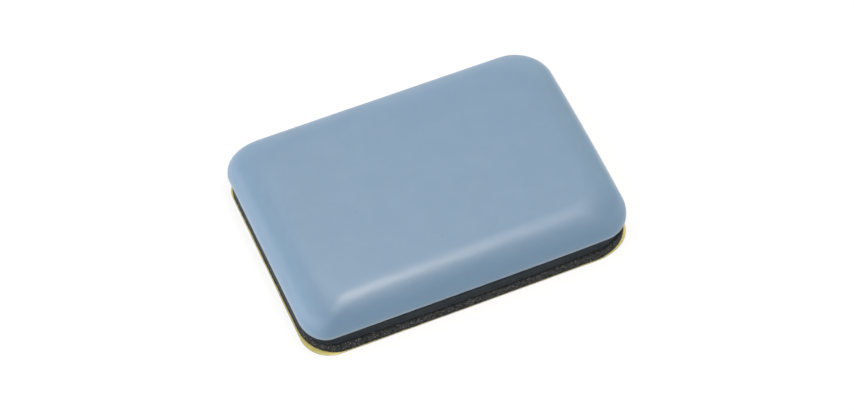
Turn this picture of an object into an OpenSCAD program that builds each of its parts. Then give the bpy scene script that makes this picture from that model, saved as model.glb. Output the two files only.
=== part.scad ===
// Self-adhesive furniture slider: a low-friction cap over a rubber core, on a foam pad that is
// sticky underneath and covered by a paper release liner until it is fitted.
// The slider lies on its liner with its sliding face up. The origin is on the liner's underside,
// in the middle; the long side runs along X.

/* [Slide cap] */
// Length of the cap over its rim
cap_length = 36; // [24:0.5:60]
// Width of the cap over its rim
cap_width = 24.8; // [16:0.1:50]
// Thickness of the cap's skin
cap_skin = 0.5; // [0.2:0.05:0.7]
// Height of the straight wall above the cap's rim
skirt_height = 0.5; // [0.2:0.1:4]
// Radius of the shoulder above the wall
shoulder_radius = 2.8; // [1.2:0.1:3.6]
// Radius of the long curve from the shoulder to the sliding face
crown_radius = 3.8; // [3.6:0.1:8]
// Plan radius at the corners of the flat sliding face
face_corner_radius = 0.2; // [0.1:0.05:3]

/* [Rubber core] */
// Height of the core's foot, which shows below the cap's rim
foot_height = 1.45; // [0.6:0.05:6]
// Inset of the core's foot from the cap's rim
foot_inset = 0.1; // [0:0.05:0.3]

/* [Foam pad] */
// Thickness of the foam
foam_thickness = 1; // [0.6:0.1:4]
// Inset of the foam from the cap's rim at each end
foam_end_inset = 0.3; // [0:0.05:1]
// Overhang of the foam past the cap's rim along each side
foam_side_overhang = 0.15; // [0:0.05:1]
// Plan radius of the foam's corners
foam_corner_radius = 4; // [1:0.1:7]

/* [Adhesives] */
// Thickness of the adhesive between the cap and the core
cap_adhesive_thickness = 0.05; // [0.03:0.01:0.1]
// Thickness of the adhesive on each face of the foam
foam_adhesive_thickness = 0.1; // [0.05:0.01:0.2]

/* [Release liner] */
// Thickness of the liner paper
liner_thickness = 0.1; // [0.05:0.01:0.3]
// Margin of the liner past the foam at each end
liner_end_margin = 0.2; // [0:0.05:6]
// Margin of the liner past the foam along each side
liner_side_margin = 0.05; // [0:0.05:6]
// Plan radius of the liner's corners
liner_corner_radius = 3.4; // [0.5:0.1:7]

/* [Hidden] */
$fn = 96;

// The shoulder hands over to the crown where the surface's normal runs 3 across and 4 up.
blend_normal = [3, 4] / norm([3, 4]);
// How far the rolled edge reaches in from the wall, and how high it stands above the wall
crown_shift = (crown_radius - shoulder_radius) * blend_normal;
roll_width = shoulder_radius + crown_shift[0];
roll_height = crown_radius - crown_shift[1];
cap_corner_radius = face_corner_radius + roll_width;
cap_plan = [cap_length, cap_width, cap_corner_radius];

// Plans are [length, width, corner radius].
foot_plan = inset_plan(cap_plan, foot_inset);
foam_plan = [
    cap_length - 2 * foam_end_inset,
    cap_width + 2 * foam_side_overhang,
    foam_corner_radius,
];
liner_plan = [
    foam_plan[0] + 2 * liner_end_margin,
    foam_plan[1] + 2 * liner_side_margin,
    liner_corner_radius,
];

// The layers stack up from the liner's underside.
liner_top = liner_thickness;
foam_base = liner_top + foam_adhesive_thickness;
foam_top = foam_base + foam_thickness;
foot_base = foam_top + foam_adhesive_thickness;
rim_level = foot_base + foot_height;
wall_top = rim_level + skirt_height;
face_level = wall_top + roll_height;

// Depths below the cap's outer surface
adhesive_depth = cap_skin;
core_depth = cap_skin + cap_adhesive_thickness;

// How far a cutting shape runs past the face that it opens
cut_margin = 0.5;

function inset_plan(plan, inset) = plan - inset * [2, 2, 1];

// Part of a disc that lies inside an outline
module disc_part(centre, radius, outline) {
    intersection() {
        translate(centre)
            circle(radius);
        polygon(outline);
    }
}

// Section of the cap's edge at a depth below its outer surface, as high as given below its flat face,
// from a corner's centre out to the wall
module edge_section(depth, height) {
    shoulder = shoulder_radius - depth;
    crown = crown_radius - depth;
    crown_centre = [cap_corner_radius - roll_width, height - crown];
    shoulder_centre = crown_centre + crown_shift;
    inner_low = [0, 0];
    inner_high = [0, height];
    wall_low = [shoulder_centre[0] + shoulder, 0];
    wall_high = shoulder_centre + [shoulder, 0];
    blend = shoulder_centre + shoulder * blend_normal;
    face_edge = [crown_centre[0], height];
    shoulder_tip = shoulder_centre + shoulder * ([1, 0] + blend_normal);
    crown_tip = crown_centre + crown * ([0, 1] + blend_normal);
    polygon([inner_low, wall_low, wall_high, face_edge, inner_high]);
    disc_part(shoulder_centre, shoulder, [inner_low, wall_high, shoulder_tip, blend, inner_high]);
    disc_part(crown_centre, crown, [inner_low, wall_low, blend, crown_tip, face_edge]);
}

// Carries an edge section round a rounded rectangle and fills the middle to the same height
module swept_block(plan, height) {
    straight = [plan[0] - 2 * plan[2], plan[1] - 2 * plan[2]];
    for (quarter = [0:3]) {
        along = straight[quarter % 2];
        across = straight[(quarter + 1) % 2];
        rotate(90 * quarter) {
            translate([along / 2, across / 2, 0])
                rotate_extrude(angle = 90)
                    children();
            translate([along / 2, 0, 0])
                rotate([90, 0, 0])
                    linear_extrude(across, center = true)
                        children();
        }
    }
    translate([-straight[0] / 2, -straight[1] / 2, 0])
        cube([straight[0], straight[1], height]);
}

// Flat plate with rounded corners, from a level up
module plate(plan, low, thickness) {
    translate([0, 0, low])
        swept_block(plan, thickness)
            square([plan[2], thickness]);
}

// Pillow form of the cap's outside, shrunk by a depth, above a level
module pillow(depth, low) {
    height = face_level - depth - low;
    translate([0, 0, low])
        swept_block(cap_plan, height)
            edge_section(depth, height);
}

module release_liner() {
    color([0.85, 0.77, 0.4])
        plate(liner_plan, 0, liner_thickness);
}

module mounting_adhesive() {
    color([0.75, 0.74, 0.68])
        plate(foam_plan, liner_top, foam_adhesive_thickness);
}

module foam_pad() {
    color([0.25, 0.26, 0.27])
        plate(foam_plan, foam_base, foam_thickness);
}

module core_adhesive() {
    color([0.6, 0.6, 0.57])
        plate(foot_plan, foam_top, foam_adhesive_thickness);
}

module rubber_core() {
    color([0.17, 0.19, 0.21]) {
        plate(foot_plan, foot_base, foot_height);
        pillow(core_depth, rim_level);
    }
}

module cap_adhesive() {
    color([0.7, 0.7, 0.62])
        difference() {
            pillow(adhesive_depth, rim_level);
            pillow(core_depth, rim_level - cut_margin);
        }
}

module slide_cap() {
    color([0.56, 0.65, 0.74])
        difference() {
            pillow(0, rim_level);
            pillow(adhesive_depth, rim_level - cut_margin);
        }
}

release_liner();
mounting_adhesive();
foam_pad();
core_adhesive();
rubber_core();
cap_adhesive();
slide_cap();
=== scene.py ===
"""Dresses a self-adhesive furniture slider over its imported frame.

A waxy low-friction cap is bonded over a rubber core. The core stands on a cut foam pad, and the pad's
sticky underside lies on a yellow release liner. Sizes are in millimetres and become metres in the meshes.
"""
from __future__ import annotations

import logging
import math
from dataclasses import dataclass, replace
from enum import Enum
from typing import Callable, Union

import bmesh
import bpy
import numpy as np
from mathutils import Matrix, Vector, noise

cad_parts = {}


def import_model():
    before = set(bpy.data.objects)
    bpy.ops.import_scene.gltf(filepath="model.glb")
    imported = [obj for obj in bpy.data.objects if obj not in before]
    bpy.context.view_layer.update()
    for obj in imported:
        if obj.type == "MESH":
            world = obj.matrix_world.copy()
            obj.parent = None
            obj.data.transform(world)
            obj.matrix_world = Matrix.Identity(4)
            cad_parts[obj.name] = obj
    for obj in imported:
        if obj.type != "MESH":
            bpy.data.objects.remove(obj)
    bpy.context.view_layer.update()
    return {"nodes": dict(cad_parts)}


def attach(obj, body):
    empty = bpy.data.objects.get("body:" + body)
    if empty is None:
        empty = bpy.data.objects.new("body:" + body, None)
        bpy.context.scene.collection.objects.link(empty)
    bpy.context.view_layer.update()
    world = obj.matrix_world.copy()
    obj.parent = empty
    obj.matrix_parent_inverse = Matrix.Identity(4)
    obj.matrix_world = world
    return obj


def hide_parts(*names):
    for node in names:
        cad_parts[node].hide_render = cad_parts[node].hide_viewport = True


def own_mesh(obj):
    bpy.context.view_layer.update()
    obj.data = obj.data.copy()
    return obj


LOG = logging.getLogger("slider")
MM = 0.001

Colour = tuple[float, float, float]
Point = tuple[float, float, float]
Four = tuple[float, float, float, float]
Number = Union["Value", float]
Mark = Union[float, np.ndarray]

WHITE: Colour = (1.0, 1.0, 1.0)
# One number for each corner or side of a plan
ZERO: Four = (0.0, 0.0, 0.0, 0.0)
EVEN: Four = (1.0, 1.0, 1.0, 1.0)
# Levels of the stack in millimetres, from the liner's underside up
LINER_TOP, FOAM_LOW, FOAM_HIGH, FOOT_LOW, RIM_LEVEL, FACE_LEVEL = 0.1, 0.2, 1.2, 1.3, 2.75, 6.25
# Drops the height of a point
FLAT: Point = (1.0, 1.0, 0.0)
# Power by which a side's bow and slant fade from the edge towards the middle of the plan
EDGE_FADE = 4
# How far apart the patterns of two seeds lie, and the lots of two cells
SEED_STRIDE: Point = (17.3, 7.9, 3.1)
LOT_STRIDE = 7.31
# Keeps a point in the very middle from dividing by nothing
TINY = 1e-9
# Steps along the crown and along the shoulder of a section
OUTSIDE_STEPS, INSIDE_STEPS = (16, 10), (6, 4)
# What the light panels are turned to, in metres
PAD_MIDDLE: Point = (0.0, 0.0, 0.003)


class Body(str, Enum):
    """The bodies that pieces ride on."""

    LINER = "liner"
    BASE = "base"
    HEAD = "head"


class Slot(str, Enum):
    """The material slots."""

    PAPER = "liner_paper"
    ADHESIVE = "adhesive"
    FOAM = "foam"
    RUBBER = "core_rubber"
    PLASTIC = "cap_plastic"


class Value:
    """A number, colour or vector on a shader socket; numbers take part in Python arithmetic."""

    def __init__(self, bench: Bench, socket: bpy.types.NodeSocket) -> None:
        """Wraps an output socket of a bench's node tree."""
        self.bench = bench
        self.socket = socket

    def _math(self, operation: str, *terms: Number) -> Value:
        """Adds a Math node over the terms."""
        return self.bench.node("ShaderNodeMath", {"operation": operation}, dict(enumerate(terms)))

    def __add__(self, other: Number) -> Value:
        """Sum."""
        return self._math("ADD", self, other)

    def __radd__(self, other: Number) -> Value:
        """Sum with a number first."""
        return self._math("ADD", other, self)

    def __sub__(self, other: Number) -> Value:
        """Difference."""
        return self._math("SUBTRACT", self, other)

    def __rsub__(self, other: Number) -> Value:
        """Difference with a number first."""
        return self._math("SUBTRACT", other, self)

    def __mul__(self, other: Number) -> Value:
        """Product."""
        return self._math("MULTIPLY", self, other)

    def __rmul__(self, other: Number) -> Value:
        """Product with a number first."""
        return self._math("MULTIPLY", other, self)

    def larger(self, other: Number) -> Value:
        """The larger of two."""
        return self._math("MAXIMUM", self, other)

    def above(self, low: float, high: float) -> Value:
        """Rises smoothly from 0 at low to 1 at high."""
        return self.bench.node(
            "ShaderNodeMapRange",
            {"interpolation_type": "SMOOTHSTEP"},
            {"Value": self, "From Min": low, "From Max": high},
        )

    def below(self, low: float, high: float) -> Value:
        """Falls smoothly from 1 at low to 0 at high."""
        return 1 - self.above(low, high)

    def side(self, name: str) -> Value:
        """Another output of the same node."""
        return Value(self.bench, self.socket.node.outputs[name])


class Bench:
    """A node tree under work, with one method that adds any node."""

    def __init__(self, tree: bpy.types.NodeTree) -> None:
        """Starts from an empty tree."""
        self.tree = tree
        self.tree.nodes.clear()

    def node(
        self,
        kind: str,
        settings: dict[str, object],
        sockets: dict[Union[str, int], object],
        out: Union[str, int] = 0,
    ) -> Value:
        """Adds a node.

        Args:
            kind: The node's type.
            settings: What is set on the node first, such as an operation.
            sockets: Values or links of its inputs, by name or number.
            out: The output that is handed back, by name or number.

        Returns:
            That output.
        """
        made = self.tree.nodes.new(kind)
        for key, setting in settings.items():
            setattr(made, key, setting)
        for key, given in sockets.items():
            socket = made.inputs[key]
            if isinstance(given, Value):
                self.tree.links.new(given.socket, socket)
            elif socket.type == "RGBA":
                socket.default_value = (*given, 1.0)
            else:
                socket.default_value = given
        return Value(self, made.outputs[out]) if made.outputs else Value(self, made.inputs[0])

    def place(self, stretch: Point = (1.0, 1.0, 1.0)) -> Value:
        """Position on the piece in millimetres, stretched along each axis."""
        spot = self.node("ShaderNodeTexCoord", {}, {}, "Object")
        factor = tuple(axis / MM for axis in stretch)
        return self.node("ShaderNodeVectorMath", {"operation": "MULTIPLY"}, {0: spot, 1: factor})

    def cloud(self, place: Value, scale: float, detail: float = 3.0, rough: float = 0.55) -> Value:
        """Soft noise from 0 to 1.

        Args:
            place: Position in millimetres.
            scale: Features per millimetre.
            detail: Octaves.
            rough: Weight of the finer octaves.

        Returns:
            The noise.
        """
        sockets = {"Vector": place, "Scale": scale, "Detail": detail, "Roughness": rough}
        return self.node("ShaderNodeTexNoise", {}, sockets, "Fac")

    def cells(self, place: Value, scale: float) -> Value:
        """Distance from the middle of the nearest cell; its other outputs give the cell's colour.

        Args:
            place: Position in millimetres.
            scale: Cells per millimetre.

        Returns:
            The distance.
        """
        sockets = {"Vector": place, "Scale": scale}
        return self.node("ShaderNodeTexVoronoi", {"feature": "F1"}, sockets, "Distance")

    def distance(self, place: Value, spot: Point) -> Value:
        """Distance from a spot, both in millimetres."""
        sockets = {0: place, 1: spot}
        return self.node("ShaderNodeVectorMath", {"operation": "DISTANCE"}, sockets, "Value")

    def painted(self, name: str) -> Value:
        """A number that the mesh carries on its points."""
        return self.node("ShaderNodeAttribute", {"attribute_name": name}, {}, "Fac")

    def first_channel(self, colour: Value) -> Value:
        """The red channel of a colour, as a random number for a cell."""
        return self.node("ShaderNodeSeparateColor", {}, {0: colour}, "Red")

    def mix(self, share: Number, first: object, second: object) -> Value:
        """Blends two colours.

        Args:
            share: How much of the second colour.
            first: A colour or its socket.
            second: A colour or its socket.

        Returns:
            The blended colour.
        """
        return self.node("ShaderNodeMix", {"data_type": "RGBA"}, {0: share, 6: first, 7: second}, 2)

    def bump(self, height: Value, depth: float, strength: float) -> Value:
        """A normal from a height of 0 to 1.

        Args:
            height: The height.
            depth: What a height of 1 stands for, in millimetres.
            strength: Weight of the bump.

        Returns:
            The normal.
        """
        sockets = {"Strength": strength, "Distance": depth * MM, "Height": height}
        return self.node("ShaderNodeBump", {}, sockets)

    def surface(self, sockets: dict[Union[str, int], object]) -> Value:
        """A principled surface with these sockets."""
        return self.node("ShaderNodeBsdfPrincipled", {}, sockets)

    def show(self, shader: Value, output: str = "ShaderNodeOutputMaterial") -> None:
        """Puts a shader on the tree's output."""
        self.node(output, {}, {"Surface": shader})


def new_material(name: str) -> tuple[bpy.types.Material, Bench]:
    """Makes a material and the bench that its nodes are added on."""
    material = bpy.data.materials.new(name)
    material.use_nodes = True
    return material, Bench(material.node_tree)


@dataclass(frozen=True)
class Speck:
    """A small spot on the sliding face; it is full in its core and fades out past its radius."""

    x: float
    y: float
    radius: float
    colour: Colour
    core: float = 0.4
    fade: float = 1.4


@dataclass(frozen=True)
class WaxySkin:
    """Blue-grey fluoropolymer, waxy and faintly mottled, with painted shade on its roll and walls, painted
    light on its end walls, and a paler rim.
    """

    colour: Colour = (0.148, 0.240, 0.345)
    light_mottle: Colour = (0.155, 0.248, 0.354)
    # Painted shade for the roll next to the face and the rolls at the ends, which reflect less light than
    # the face
    drawn: Colour = (0.133, 0.237, 0.344)
    # Painted shade: the steep walls take a deeper blue in place of the sheen they lack
    wall: Colour = (0.143, 0.248, 0.362)
    # Painted light: the walls at the ends are lighter, as if lit from the side
    end_wall_light: Colour = (0.194, 0.298, 0.422)
    # Paler rim and lower wall: partly the cut, partly a painted highlight where the rim catches the light
    cut: Colour = (0.200, 0.280, 0.370)
    fleck: Colour = (0.17, 0.23, 0.30)
    specks: tuple[Speck, ...] = (
        Speck(-7.55, 3.04, 0.10, (0.19, 0.28, 0.38)),
        Speck(-8.34, -1.28, 0.15, (0.150, 0.222, 0.300)),
        Speck(-1.5, -7.38, 0.11, (0.128, 0.205, 0.295)),
        Speck(14.4, -7.28, 0.11, (0.128, 0.205, 0.295)),
    )
    fleck_share: float = 0.7
    scatter: float = 0.7

    def make(self) -> bpy.types.Material:
        """Makes the cap's material."""
        material, bench = new_material("cap_waxy_skin")
        place = bench.place()
        mottle = bench.cloud(place, scale=0.45, detail=4.0, rough=0.6)
        grain = bench.cloud(place, scale=5.0, detail=2.0)
        streak = bench.cloud(bench.place(stretch=(0.12, 2.2, 1.0)), scale=1.0, detail=3.0)
        tone = bench.mix(mottle.above(low=0.35, high=0.75), self.colour, self.light_mottle)
        # Painted shade on the roll next to the face and on the rolls at the ends
        tone = bench.mix(bench.painted("drawn"), tone, self.drawn)
        # Painted shade on the steep walls, lightened by painted light on the walls at the ends
        wall = bench.mix(bench.painted("end"), self.wall, self.end_wall_light)
        tone = bench.mix(bench.painted("wall"), tone, wall)
        # Paler rim and lower wall, partly the cut and partly a painted highlight
        tone = bench.mix(bench.painted("cut"), tone, self.cut)
        fleck = bench.cells(place, scale=0.22).below(low=0.016, high=0.03) * grain.above(low=0.4, high=0.6)
        tone = bench.mix(fleck * self.fleck_share, tone, self.fleck)
        for speck in self.specks:
            apart = bench.distance(place, (speck.x, speck.y, FACE_LEVEL))
            share = apart.below(low=speck.core * speck.radius, high=speck.fade * speck.radius)
            tone = bench.mix(share, tone, speck.colour)
        fine = bench.cloud(place, scale=8.0, detail=1.0)
        height = grain * 0.6 + fine * 0.5 + streak * 0.25 + mottle * 0.3
        shader = bench.surface(
            {
                "Base Color": tone,
                "Roughness": 0.30 + mottle * 0.06 + grain * 0.04,
                "IOR": 1.5,
                "Subsurface Weight": 1.0,
                "Subsurface Radius": (1.0, 1.0, 1.0),
                "Subsurface Scale": self.scatter * MM,
                "Normal": bench.bump(height, depth=0.012, strength=0.35),
            }
        )
        bench.show(shader)
        return material


@dataclass(frozen=True)
class MouldedRubber:
    """Smooth dark rubber with a dull satin face and a little dust."""

    colour: Colour = (0.0075, 0.0135, 0.0185)
    pale: Colour = (0.0185, 0.0255, 0.0315)
    dust: Colour = (0.12, 0.12, 0.12)
    dust_share: float = 0.6

    def make(self) -> bpy.types.Material:
        """Makes the core's material."""
        material, bench = new_material("core_moulded_rubber")
        place = bench.place()
        mottle = bench.cloud(place, scale=1.1, detail=5.0, rough=0.65)
        grain = bench.cloud(place, scale=9.0, detail=2.0)
        tone = bench.mix(mottle.above(low=0.3, high=0.75), self.colour, self.pale)
        dust = bench.cells(place, scale=1.6).below(low=0.03, high=0.07) * mottle.above(low=0.5, high=0.6)
        tone = bench.mix(dust * self.dust_share, tone, self.dust)
        shader = bench.surface(
            {
                "Base Color": tone,
                "Roughness": 0.5 + grain * 0.15,
                "Specular IOR Level": 0.12,
                "Normal": bench.bump(grain + mottle * 0.6, depth=0.015, strength=0.4),
            }
        )
        bench.show(shader)
        return material


@dataclass(frozen=True)
class CutFoam:
    """Cut foam: dark walls, painted shade in open cells and along the top edge, and pale and brownish
    crumbs.
    """

    wall: Colour = (0.0305, 0.033, 0.0345)
    # Painted shade in the open cells and along the top edge
    pit: Colour = (0.008, 0.008, 0.008)
    crumb: Colour = (0.205, 0.211, 0.213)
    brown: Colour = (0.12, 0.09, 0.06)

    def make(self) -> bpy.types.Material:
        """Makes the foam's material."""
        material, bench = new_material("pad_cut_foam")
        place = bench.place()
        cell = bench.cells(place, scale=6.5)
        lot = bench.first_channel(cell.side("Color"))
        fine = bench.cloud(place, scale=6.0, detail=3.0)
        crumb = cell.below(low=0.1, high=0.5)
        # Painted shade in the open cells and along the top edge
        tone = bench.mix(bench.painted("pit"), self.wall, self.pit)
        tone = bench.mix(lot.above(low=0.76, high=0.82) * crumb, tone, self.crumb)
        tone = bench.mix(lot.below(low=0.08, high=0.12) * crumb, tone, self.brown)
        shader = bench.surface(
            {
                "Base Color": tone,
                "Roughness": 0.75 + fine * 0.2,
                "Specular IOR Level": 0.2,
                "Normal": bench.bump(fine, depth=0.03, strength=0.7),
            }
        )
        bench.show(shader)
        return material


@dataclass(frozen=True)
class ReleasePaper:
    """Yellow silicone-coated paper with a faint fibre, a slight sheen, and painted shade on its cut edge."""

    colour: Colour = (0.84, 0.73, 0.24)
    fibre: Colour = (0.87, 0.78, 0.31)
    # Painted shade: the cut edge is greyed as if shaded by the foam above it
    cut: Colour = (0.55, 0.54, 0.46)

    def make(self) -> bpy.types.Material:
        """Makes the liner's material."""
        material, bench = new_material("liner_release_paper")
        place = bench.place()
        fibre = bench.cloud(bench.place(stretch=(0.6, 3.0, 1.0)), scale=2.2, detail=5.0, rough=0.7)
        tooth = bench.cloud(place, scale=12.0, detail=2.0)
        tone = bench.mix(fibre.above(low=0.35, high=0.75), self.colour, self.fibre)
        # Painted shade on the cut edge
        tone = bench.mix(bench.painted("cut"), tone, self.cut)
        shader = bench.surface(
            {
                "Base Color": tone,
                "Roughness": 0.42 + fibre * 0.2,
                "Coat Weight": 0.15,
                "Coat Roughness": 0.3,
                "Normal": bench.bump(fibre + tooth * 0.4, depth=0.01, strength=0.4),
            }
        )
        bench.show(shader)
        return material


@dataclass(frozen=True)
class TackyFilm:
    """Thin acrylic adhesive: dark, wet-looking, with the orange peel of a drawn film."""

    name: str
    colour: Colour = (0.035, 0.034, 0.03)
    pale: Colour = (0.06, 0.058, 0.05)
    bubble_share: float = 0.5

    def make(self) -> bpy.types.Material:
        """Makes a film's material."""
        material, bench = new_material(self.name)
        place = bench.place()
        peel = bench.cloud(place, scale=1.4, detail=3.0)
        bubble = bench.cells(place, scale=0.9).below(low=0.05, high=0.09)
        tone = bench.mix(peel.above(low=0.3, high=0.75), self.colour, self.pale)
        tone = bench.mix(bubble * self.bubble_share, tone, self.pale)
        shader = bench.surface(
            {
                "Base Color": tone,
                "Roughness": 0.2 + peel * 0.2,
                "Normal": bench.bump(peel + bubble * 0.5, depth=0.03, strength=0.5),
            }
        )
        bench.show(shader)
        return material


@dataclass(frozen=True)
class Steps:
    """How many steps a loop takes along the long sides, the short sides and each corner."""

    long: int
    short: int
    corner: int

    @property
    def across(self) -> tuple[int, int]:
        """Steps of a flat patch along X and along Y."""
        return self.long + self.corner, self.short + self.corner


@dataclass(frozen=True)
class Plan:
    """A layer's outline: a hand-trimmed rectangle with its own radius at each corner.

    The radii go round from the corner at +X +Y, anticlockwise seen from above. Loops inside the outline
    lose the share tighten of their inset from those radii: 1 keeps an even border, and less keeps them
    rounder. The sides, from +X anticlockwise, may stand out from the rectangle, bow further out in their
    middle, and slant further out towards their end at +X or +Y. A corner's lean makes it longer along X
    and shorter along Y by that share of its radius.
    """

    length: float
    width: float
    radii: Four
    tighten: Four = EVEN
    sides: Four = ZERO
    bows: Four = ZERO
    slants: Four = ZERO
    leans: Four = ZERO

    @property
    def halves(self) -> tuple[float, float]:
        """Half the rectangle's length and half its width."""
        return self.length / 2, self.width / 2

    def loop(self, inset: float, steps: Steps) -> np.ndarray:
        """Points round the outline, from the middle of the corner at +X +Y.

        Args:
            inset: How far inside the outline the loop runs.
            steps: Its steps.

        Returns:
            One row of x and y for each point.
        """
        east, north, west, south = (
            half + side - inset for half, side in zip(self.halves * 2, self.sides)
        )
        corners = ((east, north), (-west, north), (-west, -south), (east, -south))
        counts = (steps.long, steps.short, steps.long, steps.short)
        trims = zip(corners, self.radii, self.tighten, self.leans)
        arcs = []
        for turn, (corner, radius, tighten, lean) in enumerate(trims):
            small = (radius - tighten * inset) * np.array((1 + lean, 1 - lean))
            centre = np.array(corner) - small * np.sign(corner)
            angles = np.radians(np.linspace(90 * turn, 90 * turn + 90, steps.corner + 1))
            arcs.append(centre + small * np.stack((np.cos(angles), np.sin(angles)), 1))
        half = steps.corner // 2
        points = [arcs[0][half:]]
        for turn, count in enumerate(counts):
            start, following = arcs[turn][-1], arcs[(turn + 1) % 4]
            share = np.linspace(0, 1, count + 1)[1:-1, None]
            points.append(start + share * (following[0] - start))
            points.append(following if turn < 3 else following[:half])
        return self.bowed(np.vstack(points))

    def bowed(self, points: np.ndarray) -> np.ndarray:
        """Pushes each side out towards its middle, and by its slant."""
        share = points / self.halves
        along = share[:, ::-1]
        middle = np.clip(1 - along**2, 0, 1)
        bow, slant = (
            np.where(share > 0, (right, back), (-left, -front))
            for right, back, left, front in (self.bows, self.slants)
        )
        return points + (bow * middle + slant * along) * np.abs(share) ** EDGE_FADE

    def area(self) -> float:
        """The outline's area in square metres."""
        lost = sum(radius * radius * (1 - math.pi / 4) for radius in self.radii)
        length = self.length + self.sides[0] + self.sides[2]
        width = self.width + self.sides[1] + self.sides[3]
        return (length * width - lost) * MM * MM


class LoopMesh:
    """A mesh that is laid up from closed loops, with a patch or a lid inside the first and the last."""

    def __init__(self, steps: Steps) -> None:
        """Starts empty.

        Args:
            steps: The steps that every loop takes.
        """
        self.steps = steps
        self.points: list[np.ndarray] = []
        self.faces: list[tuple[int, ...]] = []
        self.count = 0
        self.marks: dict[str, list[np.ndarray]] = {}
        self.last: Union[np.ndarray, None] = None

    def _add(self, points: np.ndarray, marks: dict[str, Mark]) -> np.ndarray:
        """Adds points with their marks and returns their numbers."""
        numbers = np.arange(self.count, self.count + len(points))
        self.points.append(points)
        self.count += len(points)
        for name in marks:
            self.marks.setdefault(name, [])
        for name, kept in self.marks.items():
            missing = self.count - len(points) - sum(len(part) for part in kept)
            kept.append(np.zeros(missing))
            kept.append(np.full(len(points), marks.get(name, 0.0)))
        return numbers

    def loop(self, flat: np.ndarray, level: float, **marks: Mark) -> np.ndarray:
        """Adds a loop and joins it to the one before.

        Args:
            flat: x and y of its points.
            level: Its height.
            marks: Numbers that its points carry for the finish, one for all or one for each.

        Returns:
            The numbers of its points.
        """
        numbers = self._add(np.column_stack((flat, np.full(len(flat), level))), marks)
        if self.last is not None:
            before, after = self.last, np.roll(self.last, -1)
            self.faces += list(zip(before, after, np.roll(numbers, -1), numbers))
        self.last = numbers
        return numbers

    def lay(self, plan: Plan, inset: float, level: float, **marks: Mark) -> np.ndarray:
        """Adds a plan's loop at an inset and a height, and returns the numbers of its points."""
        return self.loop(plan.loop(inset, self.steps), level, **marks)

    def patch(self, ring: np.ndarray, turned: bool, **marks: float) -> None:
        """Fills a loop with a grid that runs from side to side.

        Args:
            ring: The numbers of the loop's points.
            turned: Whether its faces run the other way round.
            marks: Numbers that its points carry for the finish.
        """
        along, across = self.steps.across
        rim = np.vstack(self.points)[ring]
        order = np.append(np.arange(len(ring)), 0)
        second, third, fourth = along, along + across, 2 * along + across
        back, left = order[: second + 1], order[second : third + 1]
        front, right = order[third : fourth + 1][::-1], order[fourth:][::-1]
        grid = np.empty((along + 1, across + 1), int)
        grid[:, 0], grid[:, -1], grid[0, :], grid[-1, :] = ring[back], ring[front], ring[right], ring[left]
        u = np.linspace(0, 1, along + 1)[:, None, None]
        v = np.linspace(0, 1, across + 1)[None, :, None]
        spread = (1 - v) * rim[back][:, None] + v * rim[front][:, None]
        spread = spread + (1 - u) * rim[right][None] + u * rim[left][None]
        spread = spread - (1 - u) * ((1 - v) * rim[back[0]] + v * rim[front[0]])
        spread = spread - u * ((1 - v) * rim[back[-1]] + v * rim[front[-1]])
        inner = self._add(spread[1:-1, 1:-1].reshape(-1, 3), marks)
        grid[1:-1, 1:-1] = inner.reshape(along - 1, across - 1)
        quads = np.stack((grid[:-1, :-1], grid[1:, :-1], grid[1:, 1:], grid[:-1, 1:]), -1).reshape(-1, 4)
        self.faces += [tuple(quad) for quad in (quads[:, ::-1] if turned else quads)]

    def lid(self, ring: np.ndarray) -> None:
        """Closes a loop with one flat face."""
        self.faces.append(tuple(ring))

    def make(
        self,
        name: str,
        crease: float = 180.0,
        shift: Callable[[np.ndarray], np.ndarray] = np.copy,
    ) -> bpy.types.Object:
        """Makes the object.

        Args:
            name: The piece's name.
            crease: Edges that bend more than this many degrees stay sharp.
            shift: Moves the finished points, in millimetres.

        Returns:
            The object, in metres.
        """
        points = shift(np.vstack(self.points)) * MM
        work = bmesh.new()
        corners = [work.verts.new(point) for point in points]
        for face in self.faces:
            work.faces.new([corners[number] for number in face]).smooth = True
        bmesh.ops.recalc_face_normals(work, faces=work.faces[:])
        for edge in work.edges:
            edge.smooth = not (edge.is_manifold and edge.calc_face_angle(0.0) > math.radians(crease))
        mesh = bpy.data.meshes.new(name)
        work.to_mesh(mesh)
        work.free()
        for mark, kept in self.marks.items():
            numbers = np.concatenate(kept)
            numbers = np.append(numbers, np.zeros(len(points) - len(numbers)))
            mesh.attributes.new(mark, "FLOAT", "POINT").data.foreach_set("value", numbers.astype(np.float32))
        made = bpy.data.objects.new(name, mesh)
        bpy.context.collection.objects.link(made)
        return made


@dataclass(frozen=True)
class Ripple:
    """Smooth unevenness: about its greatest height, the size of its features, and a seed for its pattern."""

    size: float
    pitch: float
    seed: float

    def at(self, points: np.ndarray) -> np.ndarray:
        """Its height at each point of x, y and z in millimetres."""
        away = Vector([self.seed * stride for stride in SEED_STRIDE])
        return np.array([noise.noise(Vector(point) / self.pitch + away) for point in points]) * self.size


@dataclass(frozen=True)
class Slump:
    """The sag of the sliding face towards its front left corner.

    It starts at the x start and grows towards -X by the slope, past a soft beginning. Across the face it
    sets in at the y side and is full at the y full.
    """

    start: float = -8.6
    side: float = -4.0
    full: float = -9.5
    slope: float = 0.04
    soft: float = 1.0

    def at(self, points: np.ndarray) -> np.ndarray:
        """How far each point sags, in millimetres."""
        away = np.clip(self.start - points[:, 0], 0, None)
        share = np.clip((self.side - points[:, 1]) / (self.side - self.full), 0, 1)
        return self.slope * away**2 / (away + self.soft) * eased(share)


@dataclass(frozen=True)
class Lift:
    """A spot where the rim was pulled up."""

    x: float
    y: float
    reach: float
    rise: float

    def at(self, points: np.ndarray) -> np.ndarray:
        """How far it lifts each point, in millimetres."""
        apart = np.hypot(points[:, 0] - self.x, points[:, 1] - self.y) / self.reach
        return self.rise * np.exp(-(apart**2))


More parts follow.
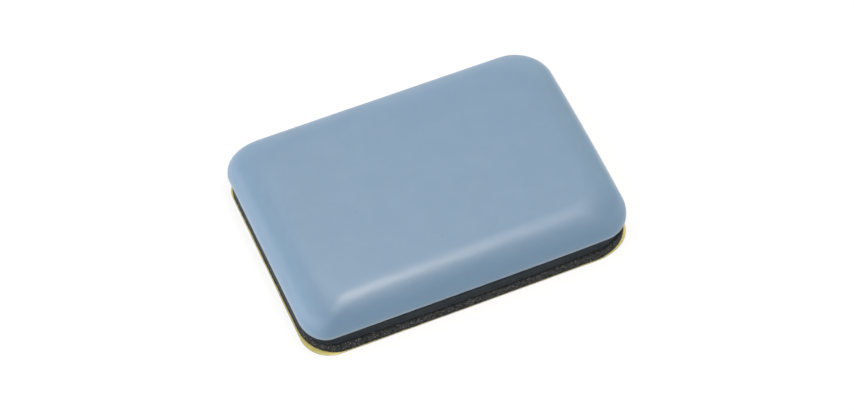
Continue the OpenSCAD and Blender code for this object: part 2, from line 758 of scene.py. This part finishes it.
@dataclass(frozen=True)
class Bell:
    """A mark that is strongest at one tilt of the surface, in degrees, and fades to both sides of it."""

    peak: float
    tilt: float
    reach: float

    def at(self, tilt: float) -> float:
        """Its strength at a tilt."""
        return self.peak * math.exp(-(((tilt - self.tilt) / self.reach) ** 2))


def eased(share: Mark) -> Mark:
    """A share of 0 to 1 with a level start and end."""
    return share * share * (3 - 2 * share)


def outward(loop: np.ndarray) -> np.ndarray:
    """Unit normals that look out of a closed loop of x and y."""
    run = np.roll(loop, -1, 0) - np.roll(loop, 1, 0)
    normal = np.stack((run[:, 1], -run[:, 0]), 1)
    return normal / np.linalg.norm(normal, axis=1, keepdims=True)


def from_middle(points: np.ndarray) -> np.ndarray:
    """Unit directions in x and y from the middle of the plan to each point."""
    flat = points[:, :2]
    return flat / np.linalg.norm(flat + TINY, axis=1, keepdims=True)


def ragged(flat: np.ndarray, ripple: Ripple) -> np.ndarray:
    """Roughens the cut edge of a sheet, a loop of x and y."""
    spots = np.column_stack((flat, np.zeros(len(flat))))
    return flat + outward(flat) * ripple.at(spots)[:, None]


def settle(
    piece: bpy.types.Object,
    body: Body,
    slot: Slot,
    material: bpy.types.Material,
    *nodes: str,
) -> None:
    """Gives a piece its material and body, and hides the nodes that it stands for."""
    piece.data.materials.clear()
    piece.data.materials.append(material)
    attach(piece, body.value)
    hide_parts(*nodes)
    LOG.info("%s: %d faces, rides on %s", piece.name, len(piece.data.polygons), body.value)


CAP_PLAN = Plan(
    length=36.0,
    width=24.8,
    radii=(3.85, 3.2, 2.85, 3.3),
    tighten=(-0.15, -0.15, 0.08, -0.15),
    sides=(-0.11, 0.05, -0.08, -0.04),
    bows=(0.20, 0.02, 0.0, 0.08),
    slants=(0.0, -0.06, 0.0, 0.0),
    leans=(0.0, 0.14, -0.13, 0.0),
)
FOOT_PLAN = replace(
    CAP_PLAN,
    radii=(3.85, 4.1, 3.5, 3.9),
    sides=(-0.11, 0.05, -0.08, -0.18),
    bows=(0.20, 0.02, 0.0, 0.44),
    leans=(0.0, 0.0, -0.10, 0.10),
)
FOAM_PLAN = Plan(
    length=35.4,
    width=25.1,
    radii=(4.1, 3.7, 3.9, 3.85),
    sides=(0.05, 0.0, 0.03, 0.0),
    bows=(0.0, 0.0, 0.0, 0.11),
    slants=(0.0, 0.0, -0.06, 0.0),
    leans=(0.0, 0.05, -0.06, 0.15),
)
LINER_PLAN = Plan(
    length=35.8,
    width=25.2,
    radii=(3.6, 3.4, 3.2, 3.95),
    sides=(0.11, 0.0, -0.08, 0.03),
    slants=(0.0, 0.0, -0.12, 0.02),
    leans=(0.0, 0.10, 0.0, 0.20),
)
HEAD_STEPS = Steps(long=64, short=44, corner=16)


@dataclass(frozen=True)
class RolledSection:
    """The cap's section: a straight wall, a tight shoulder, and a long crown that runs into the flat face.

    The shoulder gives way to the crown at the tilt blend, in degrees.
    """

    rim: float = RIM_LEVEL
    wall: float = 0.5
    shoulder: float = 2.8
    crown: float = 3.8
    blend: float = math.degrees(math.asin(0.6))

    @property
    def wall_top(self) -> float:
        """Where the straight wall ends and the shoulder starts."""
        return self.rim + self.wall

    @property
    def reach(self) -> float:
        """How far in from the wall the flat face starts."""
        return self.shoulder + (self.crown - self.shoulder) * math.sin(math.radians(self.blend))

    def run(self, depth: float, crown_steps: int, shoulder_steps: int) -> list[tuple[float, float, float]]:
        """The section from the flat face out to the wall's top.

        Args:
            depth: How far below the outer surface it runs.
            crown_steps: Steps along the crown.
            shoulder_steps: Steps along the shoulder.

        Returns:
            Inset, height and tilt in degrees at each step.
        """
        level = self.wall_top
        low = level + (self.shoulder - self.crown) * math.cos(math.radians(self.blend))
        tilts = [
            (self.crown - depth, self.reach, low, tilt)
            for tilt in np.linspace(0, self.blend, crown_steps + 1)
        ]
        tilts += [
            (self.shoulder - depth, self.shoulder, level, tilt)
            for tilt in np.linspace(self.blend, 90, shoulder_steps + 1)[1:]
        ]
        places = []
        for radius, across, base, tilt in tilts:
            turn = math.radians(tilt)
            places.append((across - radius * math.sin(turn), base + radius * math.cos(turn), tilt))
        return places


@dataclass
class SlideCap:
    """The low-friction skin: a shallow pan with a flat sliding face and a rolled edge."""

    plan: Plan = CAP_PLAN
    section: RolledSection = RolledSection()
    steps: Steps = HEAD_STEPS
    skin: float = 0.5
    wall_shares: tuple[float, ...] = (0.35, 0.7)
    rim_round: float = 0.07
    rim_turns: tuple[float, ...] = (0, 30, 60, 90)
    rim_rise: float = 0.03
    rim_lift: Lift = Lift(15.0, -12.2, 2.6, 0.13)
    dish: float = 0.02
    dish_halves: tuple[float, float] = (15.0, 9.6)
    slump: Slump = Slump()
    plan_ripple: Ripple = Ripple(0.015, 7.0, 1.0)
    rim_ripple: Ripple = Ripple(0.02, 5.0, 2.0)
    face_ripple: Ripple = Ripple(0.012, 9.0, 3.0)
    # Painted shade on the roll by its tilt: a faint band next to the face and a deeper one at the ends
    drawn_all: Bell = Bell(0.15, 6.0, 6.0)
    drawn_ends: Bell = Bell(0.95, 36.0, 11.0)
    # Tilts over which the painted shade of the steep walls sets in
    wall_shade_tilts: tuple[float, float] = (38.0, 62.0)

    def drawn(self, tilt: float, end: np.ndarray) -> np.ndarray:
        """How much painted shade the roll takes by its tilt, where it reflects less light than the face;
        most at the ends.
        """
        return self.drawn_all.at(tilt) + self.drawn_ends.at(tilt) * end

    def wall_shading(self, tilt: float) -> float:
        """How far the skin takes the painted shade of its steep walls, by the surface's tilt."""
        start, stop = self.wall_shade_tilts
        return eased(min(1.0, max(0.0, (tilt - start) / (stop - start))))

    def build(self) -> bpy.types.Object:
        """Makes the pan from its flat face over the roll, round the rim and up its inside."""
        mesh = LoopMesh(self.steps)
        rim, wall_top = self.section.rim, self.section.wall_top
        for place, (inset, level, tilt) in enumerate(self.section.run(0.0, *OUTSIDE_STEPS)):
            flat = self.plan.loop(inset, self.steps)
            end = outward(flat)[:, 0] ** 2
            ring = mesh.loop(flat, level, drawn=self.drawn(tilt, end), wall=self.wall_shading(tilt), end=end)
            if place == 0:
                mesh.patch(ring, True, drawn=0.0)
        # The lower wall and rim are painted paler, partly for the cut and partly as a painted highlight
        edge = {"wall": 1.0, "end": end, "cut": 1.0}
        for share in self.wall_shares:
            mesh.lay(self.plan, 0.0, wall_top + share * (rim + self.rim_round - wall_top), **edge)
        for turn in np.radians(self.rim_turns):
            inset = self.rim_round * (1 - math.cos(turn))
            mesh.lay(self.plan, inset, rim + self.rim_round * (1 - math.sin(turn)), **edge)
        mesh.lay(self.plan, self.skin, rim, cut=1.0)
        for inset, level, _tilt in self.section.run(self.skin, *INSIDE_STEPS)[::-1]:
            ring = mesh.lay(self.plan, inset, level)
        mesh.patch(ring, False)
        return mesh.make("slide_cap_skin", shift=self.settle_shape)

    def settle_shape(self, points: np.ndarray) -> np.ndarray:
        """Adds the unevenness of a drawn and trimmed skin.

        Args:
            points: The points in millimetres.

        Returns:
            The moved points.
        """
        moved = points.copy()
        spots, height = points * FLAT, points[:, 2]
        wall_top = self.section.wall_top
        low = np.clip((wall_top - height) / self.section.wall, 0, 1)
        high = np.clip((height - wall_top) / self.section.shoulder, 0, 1)
        half_length, half_width = self.dish_halves
        middle = np.clip(1 - np.hypot(points[:, 0] / half_length, points[:, 1] / half_width), 0, 1)
        moved[:, :2] += from_middle(points) * self.plan_ripple.at(spots)[:, None]
        moved[:, 2] += (self.rim_rise + self.rim_ripple.at(spots) + self.rim_lift.at(points)) * low
        moved[:, 2] += (self.face_ripple.at(spots) - self.dish * middle) * (height > wall_top)
        moved[:, 2] -= self.slump.at(points) * high
        return moved

    def dress(self, piece: bpy.types.Object) -> None:
        """Gives the skin its finish."""
        settle(piece, Body.HEAD, Slot.PLASTIC, WaxySkin().make(), "slide_cap")


@dataclass
class RubberCore:
    """The moulded core: a foot that shows below the cap's rim, and a pillow that fills the cap."""

    plan: Plan = CAP_PLAN
    foot_plan: Plan = FOOT_PLAN
    section: RolledSection = RolledSection()
    steps: Steps = HEAD_STEPS
    depth: float = 0.55
    foot_low: float = FOOT_LOW
    foot_inset: float = 0.1
    foot_round: float = 0.25
    foot_turns: tuple[float, ...] = (15, 30, 45, 60, 75, 90)
    hollow: float = 0.05
    hollow_shares: tuple[float, ...] = (0.25, 0.5, 0.75)
    top_round: float = 0.04
    ripple: Ripple = Ripple(0.03, 3.0, 4.0)
    slump: Slump = Slump()
    slump_depth: float = 2.0

    def build(self) -> bpy.types.Object:
        """Makes the core from its underside up the foot and over the pillow."""
        mesh = LoopMesh(self.steps)
        low, high = self.foot_low + self.foot_round, self.section.rim
        ring = mesh.lay(self.foot_plan, self.foot_inset + self.foot_round, self.foot_low)
        mesh.patch(ring, False)
        for turn in np.radians(self.foot_turns):
            inset = self.foot_inset + self.foot_round * (1 - math.sin(turn))
            mesh.lay(self.foot_plan, inset, self.foot_low + self.foot_round * (1 - math.cos(turn)))
        for share in self.hollow_shares:
            inset = self.foot_inset + self.hollow * math.sin(math.pi * share)
            mesh.lay(self.foot_plan, inset, low + share * (high - low))
        mesh.lay(self.foot_plan, self.foot_inset, high - self.top_round)
        mesh.lay(self.foot_plan, self.foot_inset + self.top_round, high)
        mesh.lay(self.plan, self.depth, high)
        for inset, level, _tilt in self.section.run(self.depth, *INSIDE_STEPS)[::-1]:
            ring = mesh.lay(self.plan, inset, level)
        mesh.patch(ring, True)
        return mesh.make("rubber_core_body", shift=self.settle_shape)

    def settle_shape(self, points: np.ndarray) -> np.ndarray:
        """Adds the slight waviness of a trimmed foot, and the face's sag.

        Args:
            points: The points in millimetres.

        Returns:
            The moved points.
        """
        moved = points.copy()
        rim, height = self.section.rim, points[:, 2]
        moved[:, :2] += from_middle(points) * (self.ripple.at(points) * (height < rim))[:, None]
        moved[:, 2] -= self.slump.at(points) * np.clip((height - rim) / self.slump_depth, 0, 1)
        return moved

    def dress(self, piece: bpy.types.Object) -> None:
        """Gives the core its finish."""
        settle(piece, Body.HEAD, Slot.RUBBER, MouldedRubber().make(), "rubber_core")


@dataclass
class FoamPad:
    """The foam, cut through its cells on all four sides."""

    plan: Plan = FOAM_PLAN
    steps: Steps = Steps(long=340, short=215, corner=72)
    low: float = FOAM_LOW
    high: float = FOAM_HIGH
    rows: int = 13
    lid_inset: float = 1.2
    barrel: float = 0.05
    widest: float = 0.25
    cell: float = 0.3
    cell_reach: float = 0.55
    open_share: float = 0.45
    depth: float = 0.11
    crumb_height: float = 0.55
    # Painted shade along the top edge and face, in the crevice under the foot
    top_pit: float = 0.3
    fade_slope: float = 4.0
    fade_least: float = 0.3
    crumble: Ripple = Ripple(0.05, 1.1, 5.0)
    low_ripple: Ripple = Ripple(0.06, 2.2, 8.0)
    keep: float = 0.6

    def build(self) -> bpy.types.Object:
        """Makes the pad with open cells on its cut sides."""
        mesh = LoopMesh(self.steps)
        base = self.plan.loop(0.0, self.steps)
        normal = outward(base)
        first = mesh.lay(self.plan, self.lid_inset, self.low, pit=0.0)
        for level in np.linspace(self.low, self.high, self.rows):
            share = (level - self.low) / (self.high - self.low)
            tuck = self.barrel * (2 * (share - self.widest)) ** 2
            fade = min(1.0, self.fade_slope * min(share, 1 - share) + self.fade_least)
            spots = np.column_stack((base, np.full(len(base), level)))
            height, pit = self.relief(spots)
            height += self.low_ripple.at(spots * FLAT) * (1 - share)
            # The top loop takes painted shade, in the crevice under the foot
            pit = np.maximum(pit, self.top_pit * (share >= 1))
            mesh.loop(base + normal * (height * fade - tuck)[:, None], level, pit=pit)
        last = mesh.lay(self.plan, self.lid_inset, self.high, pit=self.top_pit)
        mesh.lid(first)
        mesh.lid(last)
        return mesh.make("foam_pad_cut")

    def relief(self, spots: np.ndarray) -> tuple[np.ndarray, np.ndarray]:
        """Relief of the cut side.

        Args:
            spots: x, y and z in millimetres.

        Returns:
            How far each spot stands out, in millimetres, and how much painted shade it takes by how deep it
            lies in an open cell, from 0 to 1.
        """
        height, pit = np.empty(len(spots)), np.empty(len(spots))
        for number, spot in enumerate(spots):
            distances, seeds = noise.voronoi(Vector(spot) / self.cell)
            lot = noise.cell(seeds[0] * LOT_STRIDE)
            dome = max(0.0, 1 - (distances[0] / self.cell_reach) ** 2)
            open_cell = 1.0 if lot < self.open_share else -self.crumb_height
            height[number] = -self.depth * open_cell * dome
            pit[number] = max(0.0, open_cell) * dome
        return height + self.crumble.at(spots), pit

    def dress(self, piece: bpy.types.Object) -> None:
        """Gives the pad its finish and a mesh of its own."""
        settle(piece, Body.BASE, Slot.FOAM, CutFoam().make(), "foam_pad")
        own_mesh(piece)


@dataclass
class AdhesiveSheet:
    """A thin film of adhesive, drawn back a little from the edge that it was cut with."""

    name: str
    node: str
    body: Body
    plan: Plan
    low: float
    high: float
    finish: TackyFilm
    back: float
    ripple: Ripple
    border: float = 0.25
    bevel: float = 0.03
    crease: float = 60.0
    steps: Steps = Steps(long=120, short=84, corner=24)

    def build(self) -> bpy.types.Object:
        """Makes the film."""
        mesh = LoopMesh(self.steps)
        flat = self.plan.loop(self.back, self.steps)
        edge = ragged(flat, self.ripple)
        bevelled = edge - outward(flat) * self.bevel
        mesh.patch(mesh.lay(self.plan, self.back + self.border, self.low), False)
        mesh.loop(bevelled, self.low)
        mesh.loop(edge, (self.low + self.high) / 2)
        mesh.loop(bevelled, self.high)
        mesh.patch(mesh.lay(self.plan, self.back + self.border, self.high), True)
        return mesh.make(self.name, crease=self.crease)

    def dress(self, piece: bpy.types.Object) -> None:
        """Gives the film its finish."""
        settle(piece, self.body, Slot.ADHESIVE, self.finish.make(), self.node)


@dataclass
class ReleaseLiner:
    """The paper that covers the sticky underside; it shows at the corners and along the ends."""

    plan: Plan = LINER_PLAN
    thickness: float = LINER_TOP
    ripple: Ripple = Ripple(0.04, 4.0, 6.0)
    border: float = 0.5
    bevel: float = 0.03
    crease: float = 50.0
    steps: Steps = Steps(long=120, short=84, corner=28)

    def build(self) -> bpy.types.Object:
        """Makes the sheet."""
        mesh = LoopMesh(self.steps)
        flat = self.plan.loop(0.0, self.steps)
        edge = ragged(flat, self.ripple)
        mesh.patch(mesh.lay(self.plan, self.border, 0.0), False)
        # The cut edge takes painted shade
        mesh.loop(edge, 0.0, cut=1.0)
        mesh.loop(edge, self.thickness, cut=1.0)
        mesh.loop(edge - outward(flat) * self.bevel, self.thickness)
        mesh.patch(mesh.lay(self.plan, self.border, self.thickness), True)
        return mesh.make("release_liner_sheet", crease=self.crease)

    def dress(self, piece: bpy.types.Object) -> None:
        """Gives the sheet its finish and works out the area of its outline."""
        settle(piece, Body.LINER, Slot.PAPER, ReleasePaper().make(), "release_liner")
        self.plan.area()


@dataclass(frozen=True)
class Softbox:
    """A rectangular studio light, in metres and watts."""

    name: str
    place: Point
    aim: Point
    size: tuple[float, float]
    power: float
    colour: Colour = WHITE
    spread: float = 180.0

    def hang(self) -> None:
        """Makes the light and turns it to its aim."""
        lamp = bpy.data.lights.new(self.name, "AREA")
        lamp.shape = "RECTANGLE"
        lamp.size, lamp.size_y = self.size
        lamp.energy = self.power
        lamp.color = self.colour
        lamp.spread = math.radians(self.spread)
        holder = bpy.data.objects.new(self.name, lamp)
        bpy.context.collection.objects.link(holder)
        holder.location = self.place
        holder.rotation_mode = "QUATERNION"
        holder.rotation_quaternion = (Vector(self.aim) - Vector(self.place)).to_track_quat("-Z", "Y")


@dataclass
class Studio:
    """A white floor, even light all round, softboxes, light panels and the camera, in metres."""

    floor_half: float = 3.0
    floor_cells: int = 8
    floor_level: float = -0.00002
    ambient: float = 0.47
    floor_colour: Colour = (0.9, 0.9, 0.9)
    floor_glow: float = 0.85
    lens: float = 138.98
    sensor: float = 36.0
    clip: tuple[float, float] = (0.01, 20.0)
    camera_place: Point = (-0.077513, -0.179123, 0.278401)
    azimuth: float = -23.41
    elevation: float = 54.861
    softboxes: tuple[Softbox, ...] = (
        Softbox(
            "spot_softbox",
            place=(-0.001, -0.013, 0.096),
            aim=(-0.013, -0.011, 0.005),
            size=(0.016, 0.022),
            power=0.026,
            colour=(1.0, 0.80, 0.66),
        ),
        Softbox(
            "overhead_softbox",
            place=(0.055, -0.035, 0.30),
            aim=(-0.004, -0.009, 0.005),
            size=(0.32, 0.10),
            power=0.105,
            colour=(1.0, 0.95, 0.88),
            spread=80.0,
        ),
        Softbox("high_softbox", (-0.018, 0.112, 0.26), (-0.006, -0.006, 0.005), (0.15, 0.12), 0.13),
        Softbox("left_panel", (-0.45, -0.02, 0.24), PAD_MIDDLE, (1.2, 0.6), 1.5, spread=120.0),
        Softbox("low_panel", (-0.42, 0.25, 0.07), PAD_MIDDLE, (0.6, 0.12), 0.10),
        Softbox("back_panel", (0.08, 0.42, 0.16), PAD_MIDDLE, (0.90, 0.30), 0.38),
        Softbox("right_panel", (0.42, 0.08, 0.16), PAD_MIDDLE, (0.80, 0.30), 0.12),
    )

    def light_world(self) -> None:
        """Gives the world an even light in front of a white background."""
        world = bpy.data.worlds.new("studio")
        world.use_nodes = True
        bpy.context.scene.world = world
        bench = Bench(world.node_tree)
        strength = self.ambient + (1 - self.ambient) * self.seen(bench)
        shader = bench.node("ShaderNodeBackground", {}, {"Color": WHITE, "Strength": strength})
        bench.show(shader, "ShaderNodeOutputWorld")

    @staticmethod
    def seen(bench: Bench) -> Value:
        """1 where the camera sees the studio, straight or in a gloss or through something clear."""
        camera = bench.node("ShaderNodeLightPath", {}, {}, "Is Camera Ray")
        return camera.larger(camera.side("Is Glossy Ray")).larger(camera.side("Is Transmission Ray"))

    def lay_floor(self) -> None:
        """Lays a white floor that keeps the shadow."""
        work = bmesh.new()
        bmesh.ops.create_grid(
            work,
            x_segments=self.floor_cells,
            y_segments=self.floor_cells,
            size=self.floor_half,
        )
        mesh = bpy.data.meshes.new("studio_floor")
        work.to_mesh(mesh)
        work.free()
        floor = bpy.data.objects.new("studio_floor", mesh)
        bpy.context.collection.objects.link(floor)
        floor.location.z = self.floor_level
        material, bench = new_material("studio_paper")
        matte = bench.node("ShaderNodeBsdfDiffuse", {}, {"Color": self.floor_colour})
        glow = bench.node("ShaderNodeEmission", {}, {"Color": WHITE, "Strength": 1.0})
        share = self.seen(bench) * self.floor_glow
        bench.show(bench.node("ShaderNodeMixShader", {}, {0: share, 1: matte, 2: glow}))
        mesh.materials.append(material)

    def place_camera(self) -> None:
        """Puts the camera at the photograph's viewing angle."""
        lens = bpy.data.cameras.new("camera")
        lens.lens = self.lens
        lens.sensor_fit = "HORIZONTAL"
        lens.sensor_width = self.sensor
        lens.clip_start, lens.clip_end = self.clip
        camera = bpy.data.objects.new("camera", lens)
        bpy.context.collection.objects.link(camera)
        turn, rise = math.radians(self.azimuth), math.radians(self.elevation)
        right = Vector((math.cos(turn), math.sin(turn), 0))
        back = Vector((math.sin(turn) * math.cos(rise), -math.cos(turn) * math.cos(rise), math.sin(rise)))
        axes = Matrix((right, back.cross(right), back)).transposed().to_4x4()
        camera.matrix_world = Matrix.Translation(self.camera_place) @ axes
        bpy.context.scene.camera = camera

    def build(self) -> None:
        """Sets up the whole studio."""
        bpy.context.scene.view_settings.view_transform = "Standard"
        self.light_world()
        self.lay_floor()
        for softbox in self.softboxes:
            softbox.hang()
        self.place_camera()


def dress_hidden_film(frame: dict, film: TackyFilm) -> None:
    """Gives the film inside the cap, which stays a CAD node, its finish."""
    node = frame["nodes"]["cap_adhesive"]
    node.data.materials.clear()
    node.data.materials.append(film.make())
    LOG.info("cap_adhesive: dressed")


def main() -> None:
    """Builds the slider's pieces and the studio in order."""
    logging.basicConfig(level=logging.INFO, format="%(name)s: %(message)s")
    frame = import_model()
    pieces = (
        SlideCap(),
        RubberCore(),
        FoamPad(),
        AdhesiveSheet(
            "core_adhesive_film",
            "core_adhesive",
            Body.HEAD,
            FOOT_PLAN,
            low=FOAM_HIGH,
            high=FOOT_LOW,
            finish=TackyFilm("core_film_adhesive"),
            back=0.45,
            ripple=Ripple(0.05, 0.9, 37.2),
        ),
        AdhesiveSheet(
            "mounting_adhesive_film",
            "mounting_adhesive",
            Body.BASE,
            FOAM_PLAN,
            low=LINER_TOP,
            high=FOAM_LOW,
            finish=TackyFilm("mounting_film_adhesive"),
            back=0.09,
            ripple=Ripple(0.08, 0.9, 3.1),
        ),
        ReleaseLiner(),
    )
    for piece in pieces:
        piece.dress(piece.build())
    dress_hidden_film(frame, TackyFilm("cap_film_adhesive"))
    Studio().build()


if __name__ == "__main__":
    main()
